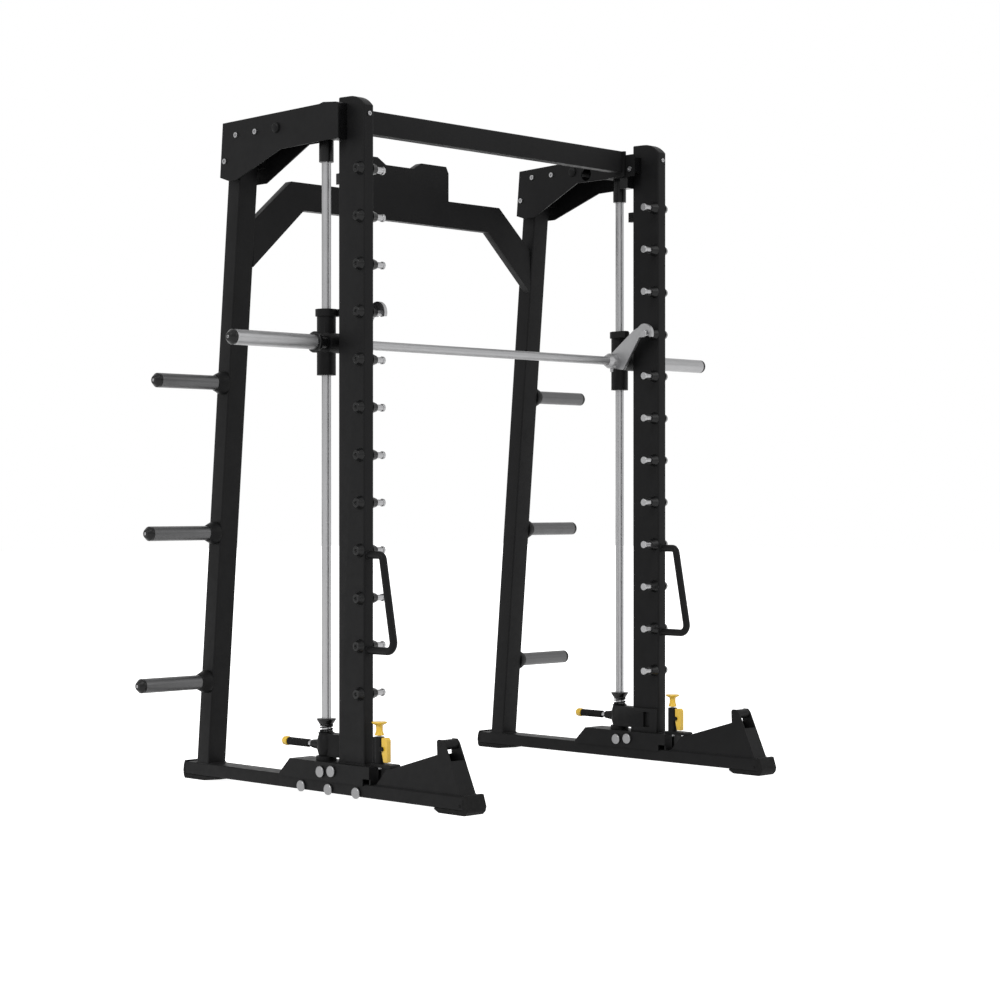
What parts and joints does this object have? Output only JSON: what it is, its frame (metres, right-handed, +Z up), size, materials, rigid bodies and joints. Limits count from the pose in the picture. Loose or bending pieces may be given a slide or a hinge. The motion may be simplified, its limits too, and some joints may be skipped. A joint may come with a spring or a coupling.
{
  "type": "power cage",
  "caption": "Guided-bar training cage: two side frames, crossbeam and rear brace, a bar sliding on two upright rods, hooks, rack pins and plate storage pegs.",
  "frame": {"origin": "on the floor, at the middle of the footprint", "axes": "+X along the bar, +Y from the front (rack pins, handles) to the rear, +Z up"},
  "size_m": [2.264, 1.3808, 2.2179],
  "materials": {
    "black_paint": "satin powder coat",
    "rubber": "matt",
    "black_plastic": "satin",
    "chrome": "polished",
    "satin_steel": "satin",
    "grey_steel": "satin, dark grey",
    "bolt_steel": "zinc plated",
    "bush_steel": "ground",
    "yellow_plastic": "gloss"
  },
  "bodies": {
    "frame": {"base_rail_left": "black_paint", "base_rail_right": "black_paint", "saddle_left": "black_paint", "saddle_right": "black_paint", "dock_bracket_left": "black_paint", "dock_bracket_right": "black_paint", "front_upright_left": "black_paint", "front_upright_right": "black_paint", "rear_upright_left": "black_paint", "rear_upright_right": "black_paint", "foot_clamp_left": "black_paint", "foot_clamp_right": "black_paint", "guide_rod_left": "chrome", "guide_rod_right": "chrome", "top_plates_left": "black_paint", "top_plates_right": "black_paint", "grab_handle_left": "black_paint", "grab_handle_right": "black_paint", "latch_body_left": "black_paint", "latch_body_right": "black_paint", "buffer_spring_left": "black_paint", "buffer_spring_right": "black_paint", "rail_boots": "rubber", "base_bolts": "chrome", "dock_bars": "black_paint", "rack_pins": "chrome", "pin_collars": "black_plastic", "storage_pegs": "grey_steel", "peg_ends": "black_plastic", "top_webs": "black_paint", "top_pads": "black_plastic", "frame_bolts": "bolt_steel", "pivot_bolts": "black_paint", "rod_bushes": "black_plastic", "crossbeam": "black_paint", "rear_brace": "black_paint"},
    "carriages": {"carriage_left": "black_paint", "carriage_right": "black_paint", "carriage_bushes": "bush_steel"},
    "bar_and_hooks": {"bar": "satin_steel", "hook_left": "satin_steel", "hook_right": "satin_steel"},
    "sleeve_left_body": {"sleeve_left": "satin_steel", "sleeve_ends_left": "black_plastic"},
    "buffer_left_body": {"buffer_cup_left": "black_plastic"},
    "pull_left_body": {"pull_pin_left": "bolt_steel", "pull_grip_left": "rubber", "pull_cap_left": "yellow_plastic"},
    "latch_left_body": {"latch_pin_left": "bolt_steel", "latch_knob_left": "yellow_plastic"},
    "tab_left_body": {"release_tab_left": "yellow_plastic"},
    "sleeve_right_body": {"sleeve_right": "satin_steel", "sleeve_ends_right": "black_plastic"},
    "buffer_right_body": {"buffer_cup_right": "black_plastic"},
    "pull_right_body": {"pull_pin_right": "bolt_steel", "pull_grip_right": "rubber", "pull_cap_right": "yellow_plastic"},
    "latch_right_body": {"latch_pin_right": "bolt_steel", "latch_knob_right": "yellow_plastic"},
    "tab_right_body": {"release_tab_right": "yellow_plastic"}
  },
  "joints": [
    {"name": "bar_slide", "type": "slide", "parent": "frame", "child": "carriages", "axis": [0, 0, 1], "range_m": [-1.05, 0.45]},
    {"name": "hook_turn", "type": "hinge", "parent": "carriages", "child": "bar_and_hooks", "pos_m": [0, -0.0405, 1.443], "axis": [-1, 0, 0], "range_deg": [0, 30]},
    {"name": "sleeve_left_spin", "type": "hinge", "parent": "bar_and_hooks", "child": "sleeve_left_body", "pos_m": [-0.945, -0.0405, 1.443], "axis": [1, 0, 0], "continuous": true},
    {"name": "sleeve_right_spin", "type": "hinge", "parent": "bar_and_hooks", "child": "sleeve_right_body", "pos_m": [0.945, -0.0405, 1.443], "axis": [1, 0, 0], "continuous": true},
    {"name": "buffer_left_press", "type": "slide", "parent": "frame", "child": "buffer_left_body", "axis": [0, 0, -1], "range_m": [0, 0.009], "stiffness_N_per_m": 20000, "springref_m": -0.001, "deforming": ["buffer_spring_left"]},
    {"name": "buffer_right_press", "type": "slide", "parent": "frame", "child": "buffer_right_body", "axis": [0, 0, -1], "range_m": [0, 0.009], "stiffness_N_per_m": 20000, "springref_m": -0.001, "deforming": ["buffer_spring_right"]},
    {"name": "pull_pin_left_pull", "type": "slide", "parent": "frame", "child": "pull_left_body", "axis": [0, 1, 0], "range_m": [0, 0.02], "stiffness_N_per_m": 1500, "springref_m": -0.01},
    {"name": "pull_pin_right_pull", "type": "slide", "parent": "frame", "child": "pull_right_body", "axis": [0, 1, 0], "range_m": [0, 0.02], "stiffness_N_per_m": 1500, "springref_m": -0.01},
    {"name": "latch_left_lift", "type": "slide", "parent": "frame", "child": "latch_left_body", "axis": [0, 0, 1], "range_m": [0, 0.02], "stiffness_N_per_m": 1500, "springref_m": -0.01},
    {"name": "latch_right_lift", "type": "slide", "parent": "frame", "child": "latch_right_body", "axis": [0, 0, 1], "range_m": [0, 0.02], "stiffness_N_per_m": 1500, "springref_m": -0.01},
    {"name": "tab_left_press", "type": "hinge", "parent": "frame", "child": "tab_left_body", "pos_m": [-0.703, -0.2785, 0.168], "axis": [1, 0, 0], "range_deg": [0, 12], "stiffness_Nm_per_rad": 0.8, "springref_deg": -5.73},
    {"name": "tab_right_press", "type": "hinge", "parent": "frame", "child": "tab_right_body", "pos_m": [0.703, -0.2785, 0.168], "axis": [1, 0, 0], "range_deg": [0, 12], "stiffness_Nm_per_rad": 0.8, "springref_deg": -5.73}
  ]
}
